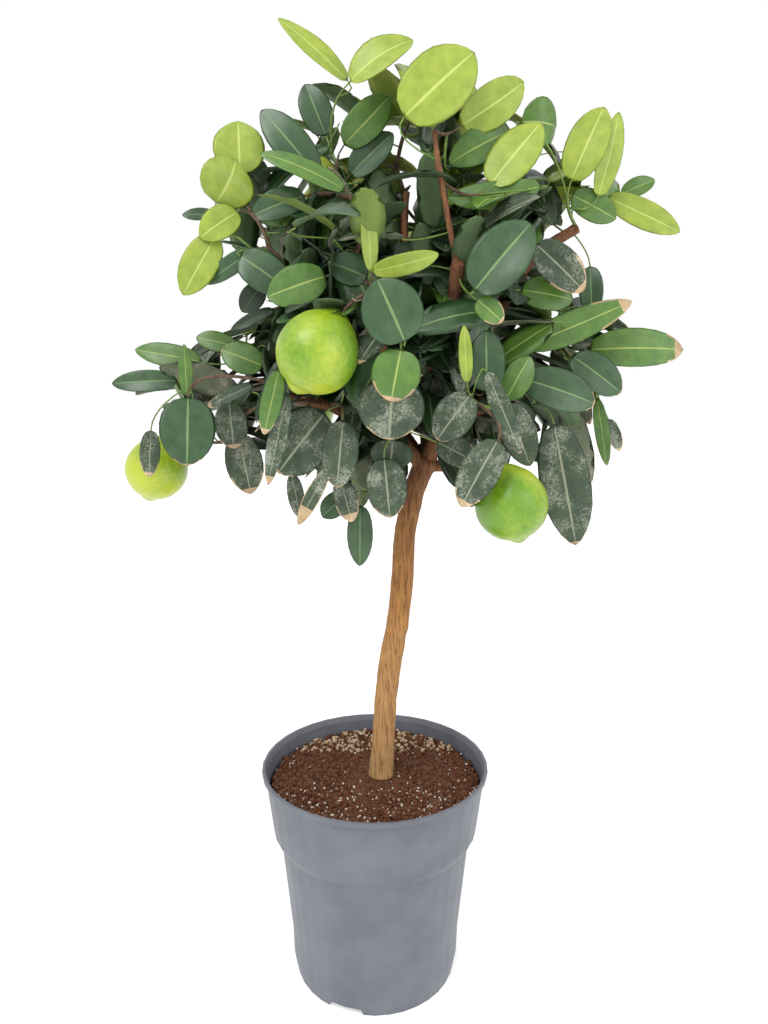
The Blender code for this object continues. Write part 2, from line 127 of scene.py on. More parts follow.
def leaf_finish(name, base, deep, roughness, coat, spot=None, spot_share=0.0):
    """A leaf's skin: a waxy cuticle over mottled green, with dust where old leaves hold it."""
    finish, tree, shader = new_finish(name, Roughness=roughness, Coat_Weight=coat, Coat_Roughness=0.32,
                                      Specular_IOR_Level=0.42)
    where = add(tree, "ShaderNodeTexCoord").outputs["Object"]
    mottle = add(tree, "ShaderNodeTexNoise", Vector=where, Scale=1 / (9 * MM), Detail=4.0, Roughness=0.6)
    colour = add(tree, "ShaderNodeValToRGB", stops=((0.30, deep), (0.68, base)),
                 i0=mottle.outputs["Fac"]).outputs["Color"]
    if spot:
        grit = add(tree, "ShaderNodeTexNoise", Vector=where, Scale=1 / (1.6 * MM), Detail=3.0,
                   Roughness=0.7)
        drift = add(tree, "ShaderNodeTexNoise", Vector=where, Scale=1 / (16 * MM), Detail=2.0)
        both = add(tree, "ShaderNodeMath", {"operation": "MULTIPLY"}, i0=grit.outputs["Fac"],
                   i1=drift.outputs["Fac"])
        dust = add(tree, "ShaderNodeMapRange", Value=both.outputs[0], i1=0.30 - 0.10 * spot_share,
                   i2=0.46 - 0.10 * spot_share)
        colour = add(tree, "ShaderNodeMix", {"data_type": "RGBA"}, i0=dust.outputs[0], i6=colour,
                     i7=linear(spot)).outputs[2]
    tree.links.new(colour, shader.inputs["Base Color"])
    grain = add(tree, "ShaderNodeTexNoise", Vector=where, Scale=1 / (1.2 * MM), Detail=2.0)
    bump = add(tree, "ShaderNodeBump", Strength=0.10, Distance=0.2 * MM, Height=grain.outputs["Fac"])
    tree.links.new(bump.outputs[0], shader.inputs["Normal"])
    return finish


# Leaf skins: each kind has an upper side, an underside and a midrib, and dry margins share one.
# Each has its name, base and deeper green, roughness, waxy coat, dust colour and share of dust.
LEAF_KINDS = {
    "young": ("young lime leaf, soft cuticle", "95A63A", "7C9130", 0.42, 0.15, None, 0.0),
    "young_under": ("young leaf underside, matt", "9DAA52", "8A9A45", 0.60, 0.0, None, 0.0),
    "young_rib": ("young leaf midrib", "B4C26A", "A9B85C", 0.50, 0.0, None, 0.0),
    "fresh": ("fresh lime leaf, waxy", "55792A", "3E6324", 0.36, 0.30, None, 0.0),
    "fresh_under": ("fresh leaf underside, matt", "76893F", "647A38", 0.60, 0.0, None, 0.0),
    "fresh_rib": ("fresh leaf midrib", "95A85A", "88994E", 0.50, 0.0, None, 0.0),
    "grown": ("grown lime leaf, waxy", "35552F", "22401F", 0.34, 0.35, None, 0.0),
    "grown_under": ("grown leaf underside, matt", "5F7550", "526845", 0.62, 0.0, None, 0.0),
    "grown_rib": ("grown leaf midrib", "6E8A58", "64804F", 0.50, 0.0, None, 0.0),
    # The dark kind is painted shade: a darker copy of the leaf greens, for leaves set deep in the crown where
    # shade falls.
    "dark": ("shaded lime leaf, waxy", "24391F", "172A16", 0.38, 0.25, None, 0.0),
    "dark_under": ("shaded leaf underside", "46593A", "3B4E31", 0.65, 0.0, None, 0.0),
    "dark_rib": ("shaded leaf midrib", "4F6840", "465C39", 0.55, 0.0, None, 0.0),
    "dusty": ("old lime leaf, dull with dust", "3E4F38", "2A3A28", 0.55, 0.05, "8C8F80", 0.6),
    "dusty_under": ("old leaf underside", "6B745C", "5D6650", 0.70, 0.0, "A39C88", 0.5),
    "dusty_rib": ("old leaf midrib", "8C9078", "7D826C", 0.60, 0.0, None, 0.0),
    "dry": ("dry leaf margin, papery", "B89F7E", "97805F", 0.75, 0.0, "D8C4A4", 0.5),
}
LEAF_KEYS = list(LEAF_KINDS)
leaf_materials = [leaf_finish(*values) for values in LEAF_KINDS.values()]


def bark_finish(name, low, mid, high, streak_mm, foot_z, fork_z):
    """Young citrus bark: upright streaks, tan at the foot and redder towards the crown."""
    finish, tree, shader = new_finish(name, Roughness=0.82, Specular_IOR_Level=0.30)
    where = add(tree, "ShaderNodeTexCoord").outputs["Object"]
    squeezed = add(tree, "ShaderNodeMapping", Vector=where, Scale=(1.0, 1.0, 0.10))
    streaks = add(tree, "ShaderNodeTexNoise", Vector=squeezed.outputs[0], Scale=1 / (streak_mm * MM),
                  Detail=6.0, Roughness=0.65)
    blotches = add(tree, "ShaderNodeTexNoise", Vector=where, Scale=1 / (14 * MM), Detail=3.0)
    height = add(tree, "ShaderNodeSeparateXYZ", Vector=where)
    rise = add(tree, "ShaderNodeMapRange", Value=height.outputs["Z"], i1=foot_z, i2=fork_z)
    wander = add(tree, "ShaderNodeMath", {"operation": "MULTIPLY_ADD"}, i0=blotches.outputs["Fac"], i1=0.5,
                 i2=-0.25)
    mixed = add(tree, "ShaderNodeMath", {"operation": "ADD", "use_clamp": True}, i0=rise.outputs[0],
                i1=wander.outputs[0])
    ground = add(tree, "ShaderNodeValToRGB", stops=((0.0, low), (0.6, mid), (1.0, high)),
                 i0=mixed.outputs[0]).outputs["Color"]
    shade = add(tree, "ShaderNodeValToRGB", stops=((0.32, "6E5B48"), (0.55, "FFFFFF")),
                i0=streaks.outputs["Fac"]).outputs["Color"]
    colour = add(tree, "ShaderNodeMix", {"data_type": "RGBA", "blend_type": "MULTIPLY"}, i0=0.75, i6=ground,
                 i7=shade)
    tree.links.new(colour.outputs[2], shader.inputs["Base Color"])
    bump = add(tree, "ShaderNodeBump", Strength=0.55, Distance=0.5 * MM, Height=streaks.outputs["Fac"])
    tree.links.new(bump.outputs[0], shader.inputs["Normal"])
    return finish


def twig_finish(name, light, deep, roughness):
    """Twig bark, green on new shoots and brown on older wood."""
    finish, tree, shader = new_finish(name, Roughness=roughness)
    where = add(tree, "ShaderNodeTexCoord").outputs["Object"]
    mottle = add(tree, "ShaderNodeTexNoise", Vector=where, Scale=1 / (4 * MM), Detail=4.0)
    colour = add(tree, "ShaderNodeValToRGB", stops=((0.35, deep), (0.65, light)), i0=mottle.outputs["Fac"])
    tree.links.new(colour.outputs["Color"], shader.inputs["Base Color"])
    return finish


def rind_finish(name):
    """Lime rind: pebbled by oil glands, green with a yellow cheek, and a low waxy shine."""
    finish, tree, shader = new_finish(name, Roughness=0.36, Specular_IOR_Level=0.5, Coat_Weight=0.18,
                                      Coat_Roughness=0.25)
    where = add(tree, "ShaderNodeTexCoord").outputs["Object"]
    cheek = add(tree, "ShaderNodeTexNoise", Vector=where, Scale=1 / (45 * MM), Detail=1.0)
    fine = add(tree, "ShaderNodeTexNoise", Vector=where, Scale=1 / (3.5 * MM), Detail=3.0)
    both = add(tree, "ShaderNodeMath", {"operation": "MULTIPLY_ADD"}, i0=fine.outputs["Fac"], i1=0.30,
               i2=cheek.outputs["Fac"])
    colour = add(tree, "ShaderNodeValToRGB", stops=((0.48, "5F8A12"), (0.64, "86A21C"), (0.80, "A9B52C")),
                 i0=both.outputs[0])
    tree.links.new(colour.outputs["Color"], shader.inputs["Base Color"])
    glands = add(tree, "ShaderNodeTexVoronoi", Vector=where, Scale=1 / (1.5 * MM))
    bump = add(tree, "ShaderNodeBump", {"invert": True}, Strength=0.35, Distance=0.35 * MM,
               Height=glands.outputs["Distance"])
    tree.links.new(bump.outputs[0], shader.inputs["Normal"])
    return finish


def pot_finish():
    """Slate grey polypropylene, injection moulded: satin and fine grained, with faint haze."""
    finish, tree, shader = new_finish("slate grey polypropylene, moulded", Roughness=0.48,
                                      Specular_IOR_Level=0.45)
    where = add(tree, "ShaderNodeTexCoord").outputs["Object"]
    haze = add(tree, "ShaderNodeTexNoise", Vector=where, Scale=1 / (38 * MM), Detail=5.0, Roughness=0.6)
    colour = add(tree, "ShaderNodeValToRGB", stops=((0.35, "5B5E66"), (0.65, "666A72")),
                 i0=haze.outputs["Fac"])
    tree.links.new(colour.outputs["Color"], shader.inputs["Base Color"])
    grain = add(tree, "ShaderNodeTexNoise", Vector=where, Scale=1 / (0.8 * MM), Detail=2.0)
    bump = add(tree, "ShaderNodeBump", Strength=0.06, Distance=0.2 * MM, Height=grain.outputs["Fac"])
    tree.links.new(bump.outputs[0], shader.inputs["Normal"])
    return finish


def soil_finish(name, dark, light, crumb_mm):
    """Matt, crumbly matter of the potting mix, from dark peat to white perlite."""
    finish, tree, shader = new_finish(name, Roughness=0.95, Specular_IOR_Level=0.20)
    where = add(tree, "ShaderNodeTexCoord").outputs["Object"]
    crumbs = add(tree, "ShaderNodeTexNoise", Vector=where, Scale=1 / (crumb_mm * MM), Detail=6.0,
                 Roughness=0.7)
    colour = add(tree, "ShaderNodeValToRGB", stops=((0.35, dark), (0.66, light)), i0=crumbs.outputs["Fac"])
    tree.links.new(colour.outputs["Color"], shader.inputs["Base Color"])
    bump = add(tree, "ShaderNodeBump", Strength=0.8, Distance=1.2 * MM, Height=crumbs.outputs["Fac"])
    tree.links.new(bump.outputs[0], shader.inputs["Normal"])
    return finish


class Soup:
    """Collects many small closed shapes of one kind for one joined mesh."""

    def __init__(self):
        self.points, self.faces, self.slots = [], [], []

    def extend(self, points, faces, slots):
        start = len(self.points)
        self.points.extend(points)
        self.faces.extend([tuple(start + i for i in face) for face in faces])
        self.slots.extend(slots)

    def piece(self, name, materials, slot, replaced=()):
        mesh = bpy.data.meshes.new(name)
        mesh.from_pydata([tuple(p) for p in self.points], [], self.faces)
        for finish in materials:
            mesh.materials.append(finish)
        mesh.polygons.foreach_set("material_index", self.slots)
        mesh.shade_smooth()
        made = bpy.data.objects.new(name, mesh)
        bpy.context.scene.collection.objects.link(made)
        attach(made, "root")
        if replaced:
            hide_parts(*replaced)


# Leaf form: the places of rows along a blade and of columns across it, finer on leaves that show best
LEAF_ROWS = (0.0, 0.05, 0.14, 0.26, 0.40, 0.54, 0.68, 0.80, 0.90, 0.97, 1.0)
LEAF_COLUMNS = (-1.0, -0.88, -0.48, -0.045, 0.045, 0.48, 0.88, 1.0)
FILL_ROWS = (0.0, 0.09, 0.26, 0.46, 0.66, 0.84, 0.95, 1.0)
FILL_COLUMNS = (-1.0, -0.5, -0.05, 0.05, 0.5, 1.0)
LEAF_THICKNESS = 0.35 * MM
CUP, RIPPLE, CRENATE = 0.12, 0.5 * MM, 0.018


def blade_half_width(u):
    """Half the blade's width along its length, as a share of its widest half."""
    t = 2 * u ** 0.92 - 1
    sharpness = 0.50 if t < 0 else 0.66
    return max(0.015, (1 - min(1.0, abs(t)) ** 2.15) ** sharpness)


def leaf_shape(soup, base, tip, facing, width, kind, fold, bend, dry, fine=True):
    """One closed leaf from its base to its tip: a folded, arched blade with a rib and margins."""
    rows = LEAF_ROWS if fine else FILL_ROWS
    columns = LEAF_COLUMNS if fine else FILL_COLUMNS
    axis = tip - base
    length = axis.length
    axis.normalize()
    up = facing - axis * facing.dot(axis)
    up.normalize()
    side = up.cross(axis)
    phase = draw.uniform(0, math.tau)
    top, under = [], []
    for i, u in enumerate(rows):
        half = width / 2 * blade_half_width(u)
        spine = base + axis * (length * u) + up * (bend * length * 4 * u * (1 - u))
        for j, v in enumerate(columns):
            edge = abs(v)
            teeth = 1 + CRENATE * math.sin(u * 46 + phase) * (edge > 0.95)
            out = half * v * teeth
            lift = fold * half * edge - CUP * half * v * v
            ripple = RIPPLE * math.sin(u * 9 + phase + 1.3 * v) * edge * edge
            point = spine + side * out * math.sqrt(max(0.2, 1 - fold * fold)) + up * (lift + ripple)
            top.append(point)
            border = i in (0, len(rows) - 1) or j in (0, len(columns) - 1)
            under.append(None if border else point - up * LEAF_THICKNESS)
    points = list(top)
    lower = {}
    for k, point in enumerate(under):
        if point is None:
            lower[k] = k
        else:
            lower[k] = len(points)
            points.append(point)
    faces, slots = [], []
    wide = len(columns)
    rib = (len(columns) - 2) // 2
    for i in range(len(rows) - 1):
        for j in range(wide - 1):
            a, b = i * wide + j, i * wide + j + 1
            c, d = b + wide, a + wide
            faces.append((a, b, c, d))
            faces.append((lower[d], lower[c], lower[b], lower[a]))
            margin = j in (0, wide - 2) and fine
            near_tip = rows[i] > 1 - 0.35 * dry
            if dry > 0 and (near_tip or (margin and rows[i] > 1 - dry)):
                key = "dry"
            elif j == rib:
                key = kind + "_rib"
            else:
                key = kind
            slots.append(LEAF_KEYS.index(key))
            slots.append(LEAF_KEYS.index("dry" if key == "dry" and near_tip else kind + "_under"))
    soup.extend(points, faces, slots)


def tube_shape(soup, points, radii, sides):
    """A closed tube through the points."""
    across = Vector((0.31, 0.77, 0.56))
    rings = []
    for i, point in enumerate(points):
        along = (points[min(i + 1, len(points) - 1)] - points[max(i - 1, 0)]).normalized()
        across = across - along * across.dot(along)
        if across.length < 1e-6:
            across = along.orthogonal()
        across.normalize()
        side = along.cross(across)
        rings.append([point + radii[i] * (math.cos(k * math.tau / sides) * across
                                          + math.sin(k * math.tau / sides) * side) for k in range(sides)])
    faces = []
    for i in range(len(rings) - 1):
        for k in range(sides):
            m = (k + 1) % sides
            faces.append((i * sides + k, i * sides + m, (i + 1) * sides + m, (i + 1) * sides + k))
    faces.append(tuple(range(sides - 1, -1, -1)))
    last = (len(rings) - 1) * sides
    faces.append(tuple(range(last, last + sides)))
    soup.extend([p for ring in rings for p in ring], faces, [0] * len(faces))


# Wood: the frame's trunk and boughs under one skin
LIMBS = sorted(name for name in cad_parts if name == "trunk" or name.startswith("bough_"))
SKIN_VOXEL = 1.1 * MM
FOOT_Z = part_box("trunk")[0].z
FORK_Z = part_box("trunk")[1].z
KNOT_DEPTH = -8


class Knot(NamedTuple):
    """A swelling of the bark: the pixel of its middle, its half reach and its rise in mm."""
    u: float
    v: float
    half_reach: float
    rise: float


KNOTS = [Knot(*row) for row in (
    (380, 647, 3.0, 1.6), (387, 600, 2.6, 1.2), (407, 628, 3.2, 1.8), (402, 670, 2.4, 1.2),
    (396, 560, 2.4, 1.0), (420, 505, 3.0, 1.4),
)]


def make_wood():
    """Copies the limbs, rounds them, joins them under one voxel skin and raises the bark's relief."""
    copies = []
    for name in LIMBS:
        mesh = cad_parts[name].data.copy()
        body = bmesh.new()
        body.from_mesh(mesh)
        bmesh.ops.remove_doubles(body, verts=body.verts, dist=1e-5)
        body.to_mesh(mesh)
        body.free()
        mesh.materials.clear()
        copy = bpy.data.objects.new("limb_" + name, mesh)
        bpy.context.scene.collection.objects.link(copy)
        copies.append(copy)
    bpy.ops.object.select_all(action="DESELECT")
    for copy in copies:
        copy.select_set(True)
    wood = copies[0]
    bpy.context.view_layer.objects.active = wood
    bpy.ops.object.join()
    wood.name = "trunk_and_boughs"
    skin = wood.modifiers.new("skin", "REMESH")
    skin.mode = "VOXEL"
    skin.voxel_size = SKIN_VOXEL
    bpy.ops.object.modifier_apply(modifier="skin")
    smooth = wood.modifiers.new("smooth", "SMOOTH")
    smooth.factor = 0.5
    smooth.iterations = 8
    bpy.ops.object.modifier_apply(modifier="smooth")
    mesh = wood.data
    mesh.update()
    knots = [(seen_at(knot.u, knot.v, KNOT_DEPTH), knot.half_reach * 2 * MM, knot.rise * MM)
             for knot in KNOTS]
    normals = [vert.normal.copy() for vert in mesh.vertices]
    for vert, normal in zip(mesh.vertices, normals):
        co = vert.co
        upright = Vector((co.x, co.y, co.z * 0.16))
        crack = noise.noise(upright / (2.4 * MM))
        lump = noise.noise(co / (11 * MM))
        rise = 0.22 * MM * crack + 0.45 * MM * lump + 0.25 * MM
        for place, reach, height in knots:
            rise += height * math.exp(-((co - place).length / reach) ** 2)
        vert.co = co + normal * rise
    for vert in mesh.vertices:
        vert.co.z = max(vert.co.z, FOOT_Z - 3.0 * MM)
    mesh.materials.clear()
    mesh.materials.append(bark_finish("young citrus bark", "B08A5C", "A0713F", "7A5238", 1.6, FOOT_Z,
                                      FORK_Z))
    mesh.shade_smooth()
    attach(wood, "root")
    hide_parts(*LIMBS)
    return wood


wood = make_wood()


class Growth:
    """The twigs: points that each know their parent, and how many leaves hang beyond them."""

    STEP = 7 * MM
    LEAF_RADIUS, THICKENING = 0.62 * MM, 0.42
    FAR_OFF = (9.0, 9.0, 9.0)

    def __init__(self, skin):
        corners = skin.data.vertices
        self.places = [corners[i].co - corners[i].normal * 1.2 * MM for i in range(0, len(corners), 6)]
        self.parents = [-1] * len(self.places)
        self.loads = [0.0] * len(self.places)
        self.runs = []
        self.cloud = np.array([tuple(p) for p in self.places])

    def reach(self, goal, arriving, load=1.0, stalk=9 * MM):
        """Grows a run from the nearest wood to a leaf's base, arriving along the leaf's axis."""
        away = np.linalg.norm(self.cloud - np.array(goal), axis=1)
        behind = (self.cloud - np.array(goal)) @ np.array(arriving)
        nearest = int(np.argmin(away * (1.0 + 0.5 * (behind > 0)) + 0.004 * (away < stalk)))
        start = self.places[nearest]
        span = (goal - start).length
        control = goal - arriving * (0.45 * span) - Vector((0, 0, 1)) * (0.06 * span)
        steps = max(2, round(span / self.STEP))
        run, parent, fresh = [nearest], nearest, []
        for i in range(1, steps + 1):
            t = i / steps
            place = start * (1 - t) ** 2 + control * (2 * t * (1 - t)) + goal * t * t
            self.places.append(place)
            self.parents.append(parent)
            self.loads.append(0.0)
            parent = len(self.places) - 1
            run.append(parent)
            keep = (goal - place).length > stalk
            fresh.append(tuple(place) if keep else self.FAR_OFF)
        self.cloud = np.vstack([self.cloud, np.array(fresh)])
        node = parent
        while node >= 0:
            self.loads[node] += load
            node = self.parents[node]
        self.runs.append(run)

    def shapes(self, green, brown):
        """Draws every run as a tube, green where it feeds few leaves."""
        for run in self.runs:
            points = [self.places[i] for i in run]
            loads = [self.loads[i] for i in run]
            loads[0] = loads[1]
            radii = [self.LEAF_RADIUS * load ** self.THICKENING for load in loads]
            soup = brown if loads[len(loads) // 2] > 4 else green
            tube_shape(soup, points, radii, 6 if soup is brown else 5)


growth = Growth(wood)


class ShownLeaf(NamedTuple):
    """A leaf that shows best: its kind, the pixels of its base and tip, the depth of its base in mm
    behind the trunk's plane, how much nearer (-) or further (+) its tip is, its width in mm, its roll
    about its own axis in degrees, its arch as a share of its length, and its dry share."""
    kind: str
    base_u: float
    base_v: float
    tip_u: float
    tip_v: float
    depth: float
    lean: float
    width: float
    roll: float
    arch: float
    dry: float


SHOWN_LEAVES = [ShownLeaf(*row) for row in (
    ("young", 348, 81, 278, 18, -15, 0, 21, 35, 0.03, 0),
    ("young", 350, 82, 413, 40, -30, 0, 30, -30, 0.10, 0),
    ("young", 404, 117, 474, 52, -80, 5, 45, 0, 0.05, 0),
    ("young", 461, 126, 524, 82, -50, 0, 31, 20, 0.08, 0),
    ("young", 490, 185, 541, 123, -60, 5, 33, -10, 0.03, 0),
    ("young", 571, 181, 604, 107, -20, 0, 32, 0, 0.06, 0),
    ("young", 598, 197, 619, 112, -15, 0, 20, 25, 0.05, 0),
    ("young", 240, 174, 238, 121, -40, 5, 38, 0, 0.03, 0),
    ("young", 216, 203, 236, 160, -50, 0, 42, 20, 0.22, 0),
    ("young", 216, 236, 183, 295, -50, -5, 27, 0, 0.06, 0),
    ("young", 238, 212, 200, 238, -48, -8, 24, 0, 0.12, 0),
    ("young", 371, 272, 366, 193, -120, 0, 12, 20, 0.02, 0),
    ("young", 372, 271, 439, 254, -120, 0, 15, 30, 0.06, 0),
    ("young", 607, 197, 680, 232, 0, 0, 22, 10, 0.05, 0),
    ("fresh", 521, 122, 556, 127, -20, 10, 36, 0, 0.20, 0),
    ("fresh", 510, 131, 449, 164, -45, 0, 27, 0, 0.10, 0),
    ("fresh", 541, 186, 447, 198, -70, 0, 20, 0, -0.14, 0),
    ("fresh", 621, 194, 655, 180, 30, 0, 16, 0, 0.05, 0),
    ("fresh", 572, 195, 616, 219, -10, 0, 24, 0, 0.05, 0),
    ("grown", 474, 291, 531, 223, -105, 0, 40, 0, 0.05, 0),
    ("grown", 318, 177, 261, 110, -45, 0, 27, 0, 0.08, 0),
    ("fresh", 345, 190, 260, 153, -60, 0, 18, 25, 0.06, 0),
    ("grown", 305, 196, 251, 216, -40, -5, 23, 0, 0.10, 0),
    ("grown", 326, 136, 305, 84, -10, 0, 25, 0, 0.05, 0),
    ("fresh", 344, 145, 390, 96, -15, 0, 28, 10, 0.06, 0),
    ("grown", 350, 175, 393, 133, -10, 0, 24, 0, 0.05, 0),
    ("fresh", 326, 276, 267, 297, -85, 0, 30, 0, 0.05, 0),
    ("grown", 240, 256, 290, 291, -60, 0, 30, 0, 0.05, 0),
    ("grown", 256, 249, 206, 284, -50, 0, 15, 0, 0.08, 0),
    ("grown", 216, 214, 182, 215, 0, 0, 10, 0, 0.05, 0),
    ("grown", 405, 342, 377, 279, -140, 0, 41, 0, 0.05, 0),
    ("fresh", 401, 349, 391, 402, -135, 0, 33, 0, 0.06, 0.35),
    ("fresh", 202, 362, 135, 350, 0, 0, 20, 0, 0.05, 0),
    ("grown", 178, 381, 112, 384, -30, 0, 18, 0, 0.08, 0),
    ("fresh", 236, 347, 196, 337, -10, 0, 17, 0, 0.05, 0),
    ("fresh", 263, 366, 221, 350, -20, 0, 26, 0, 0.05, 0.2),
    ("grown", 188, 397, 187, 466, -60, -8, 42, 0, 0.05, 0.2),
    ("fresh", 187, 397, 184, 344, -55, 0, 11, 0, 0.03, 0),
    ("fresh", 588, 350, 683, 350, -20, 0, 33, 0, 0.08, 0.3),
    ("fresh", 523, 347, 632, 301, -50, 0, 25, 0, -0.03, 0.4),
    ("grown", 572, 356, 621, 393, -40, 0, 28, 0, 0.08, 0.2),
    ("grown", 523, 379, 595, 404, -60, 0, 33, 0, 0.08, 0.2),
    ("grown", 487, 392, 486, 330, -90, 0, 26, 0, 0.05, 0),
    ("fresh", 506, 400, 530, 356, -80, 0, 22, 0, 0.05, 0),
    ("grown", 590, 266, 592, 316, 0, 0, 20, 0, 0.05, 0),
    ("grown", 367, 277, 328, 262, -90, 0, 23, 0, 0.05, 0),
    ("fresh", 477, 300, 503, 322, -100, 0, 17, 0, 0.06, 0.5),
    ("grown", 437, 271, 460, 300, -60, 0, 20, 0, 0.05, 0),
    ("fresh", 521, 290, 573, 300, -40, 0, 26, 0, 0.08, 0),
    ("dusty", 536, 244, 584, 291, -55, 0, 29, 0, 0.05, 0.5),
    ("dusty", 393, 379, 389, 440, -115, 0, 46, 0, 0.05, 0.25),
    ("dusty", 470, 395, 437, 440, -105, 0, 29, 0, 0.05, 0.2),
    ("dusty", 437, 442, 476, 463, -80, 0, 23, 0, 0.06, 0.4),
    ("dusty", 498, 440, 461, 507, -115, 0, 28, 0, 0.05, 0.3),
    ("dusty", 554, 424, 576, 545, -60, 0, 38, 0, 0.06, 0.2),
    ("dusty", 507, 403, 530, 466, -85, 0, 26, 0, 0.05, 0),
    ("dusty", 487, 371, 521, 454, -110, 0, 14, 10, 0.04, 0.2),
    ("fresh", 597, 398, 607, 466, -20, 0, 12, 0, 0.03, 0.2),
    ("dusty", 608, 419, 620, 451, -10, 0, 12, 0, 0.03, 0.5),
    ("dusty", 151, 430, 149, 477, -52, 0, 16, 0, 0.05, 0.4),
    ("dusty", 253, 385, 207, 407, -50, 0, 10, 0, 0.05, 0.3),
    ("dusty", 229, 403, 234, 449, -40, 0, 26, 0, 0.05, 0.3),
    ("dusty", 238, 434, 251, 494, -30, 0, 30, 0, 0.05, 0.4),
    ("fresh", 279, 370, 264, 435, -100, 0, 15, 0, 0.04, 0.3),
    ("dusty", 287, 392, 268, 485, -95, 0, 14, 0, 0.03, 0.3),
    ("dusty", 325, 413, 278, 473, -75, 0, 45, 0, 0.05, 0.2),
    ("dusty", 343, 420, 337, 488, -85, 0, 27, 0, 0.05, 0.2),
    ("dusty", 393, 440, 390, 469, -70, 0, 34, 0, 0.05, 0.2),
    ("dusty", 384, 458, 390, 518, -80, 0, 31, 0, 0.05, 0.25),
    ("dusty", 328, 469, 298, 525, -85, 0, 12, 0, 0.08, 1.0),
    ("dusty", 340, 479, 352, 522, -60, 0, 19, 0, 0.05, 0.6),
    ("grown", 360, 505, 360, 566, -45, 0, 21, 0, 0.04, 0),
    # These two sit deep in the crown and take the dark kind, whose greens are painted shade.
    ("dark", 262, 285, 242, 312, -30, 0, 19, 0, 0.05, 0),
    ("dark", 273, 309, 231, 330, -30, 0, 10, 0, 0.05, 0),
    ("young", 467, 383, 464, 325, -100, 0, 10, 0, 0.04, 0),
    ("grown", 346, 495, 322, 517, -40, 0, 20, 0, 0.05, 0),
    ("dusty", 292, 474, 300, 518, -60, 0, 13, 0, 0.03, 0.2),
)]


class Lime(NamedTuple):
    """A lime: the pixel of its middle, its width in pixels, its depth in mm behind the trunk's plane,
    and the pixel towards which its nipple points."""
    u: float
    v: float
    wide: float
    depth: float
    nose_u: float
    nose_v: float


LIMES = [Lime(*row) for row in (
    (318, 352, 81, -120, 299, 384),
    (511, 503, 74, -90, 520, 545),
    (157, 468, 61, -10, 148, 500),
)]
HIDDEN_LIMES = ((-0.070, 0.150, 0.500), (0.120, 0.155, 0.520), (0.030, 0.120, 0.640))
HIDDEN_NOSE = Vector((0.1, 0.15, -1.0)).normalized()
LIME_RADIUS, LIME_NECK = 26.5 * MM, 1.02
LIME_LOAD, LIME_STALK = 5.0, 14 * MM

leaves_front, leaves_fill = Soup(), Soup()
TRUNK_HEAD = Vector((0.045, 0.0, 0.50))


def place_shown_leaves():
    """Places the leaves that show best, each on a stalk from the nearest wood."""
    rows = [(seen_at(leaf.base_u, leaf.base_v, leaf.depth),
             seen_at(leaf.tip_u, leaf.tip_v, leaf.depth + leaf.lean), leaf) for leaf in SHOWN_LEAVES]
    rows.sort(key=lambda row: (row[0] - TRUNK_HEAD).length)
    for base, tip, leaf in rows:
        axis = (tip - base).normalized()
        to_eye = (EYE - base).normalized()
        facing = (to_eye + Vector((0, 0, 0.25))).normalized()
        facing = Matrix.Rotation(math.radians(leaf.roll), 3, axis) @ facing
        growth.reach(base, axis)
        leaf_shape(leaves_front, base, tip, facing, leaf.width * MM, leaf.kind, bend=leaf.arch,
                   dry=leaf.dry, fold=draw.uniform(0.12, 0.3))


place_shown_leaves()

# The crown's outline and its sky gaps in the front view, which the filling leaves respect
CROWN_OUTLINE = (
    (278, 20), (318, 62), (352, 70), (410, 38), (470, 38), (482, 78), (522, 80), (556, 110), (560, 128),
    (545, 150), (565, 165), (604, 107), (628, 120), (630, 175), (652, 182), (678, 232), (620, 222),
    (575, 222), (580, 240), (560, 250), (598, 268), (600, 300), (630, 302), (683, 350), (640, 366),
    (605, 362), (620, 395), (606, 402), (618, 450), (606, 466), (594, 440), (600, 480), (574, 545),
    (550, 500), (546, 460), (510, 462), (470, 508), (436, 466), (420, 440), (408, 470), (400, 518),
    (372, 520), (360, 566), (346, 530), (300, 524), (286, 470), (268, 484), (250, 494), (214, 440),
    (208, 410), (188, 466), (160, 450), (160, 405), (112, 386), (136, 346), (196, 350), (198, 334),
    (232, 334), (256, 316), (236, 312), (244, 290), (206, 284), (184, 294), (182, 262), (208, 238),
    (184, 214), (206, 208), (204, 158), (218, 150), (222, 126), (262, 120), (264, 108), (300, 120),
    (306, 84), (318, 70),
)
# Each gap is the pixel of its middle and its reach in pixels
SKY_GAPS = ((404, 150, 14), (386, 178, 8), (428, 172, 10), (418, 200, 12), (352, 148, 8), (410, 225, 8),
            (424, 400, 10), (430, 425, 12), (436, 372, 6), (446, 355, 5), (548, 262, 8), (452, 232, 6),
            (300, 208, 6), (226, 318, 12), (372, 200, 6), (562, 240, 10), (426, 445, 8), (498, 168, 6))


def inside_outline(u, v):
    """Whether a pixel lies within the crown's outline, by counting crossings."""
    crossings = 0
    for (u0, v0), (u1, v1) in zip(CROWN_OUTLINE, CROWN_OUTLINE[1:] + CROWN_OUTLINE[:1]):
        if (v0 > v) != (v1 > v) and u < u0 + (v - v0) / (v1 - v0) * (u1 - u0):
            crossings += 1
    return crossings % 2 == 1


def shown_cover():
    """Where the shown leaves and limes lie in the front view, as (u, v, reach, depth) discs."""
    discs = []
    for leaf in SHOWN_LEAVES:
        scale = PIXELS_FOCAL / (leaf.depth * MM - EYE.y)
        for share in (0.2, 0.5, 0.8):
            discs.append((leaf.base_u + (leaf.tip_u - leaf.base_u) * share,
                          leaf.base_v + (leaf.tip_v - leaf.base_v) * share,
                          leaf.width * MM * scale * 0.5, leaf.depth + leaf.lean * share))
    for lime in LIMES:
        discs.append((lime.u, lime.v, lime.wide / 2, lime.depth - 26))
    return discs


COVER = shown_cover()


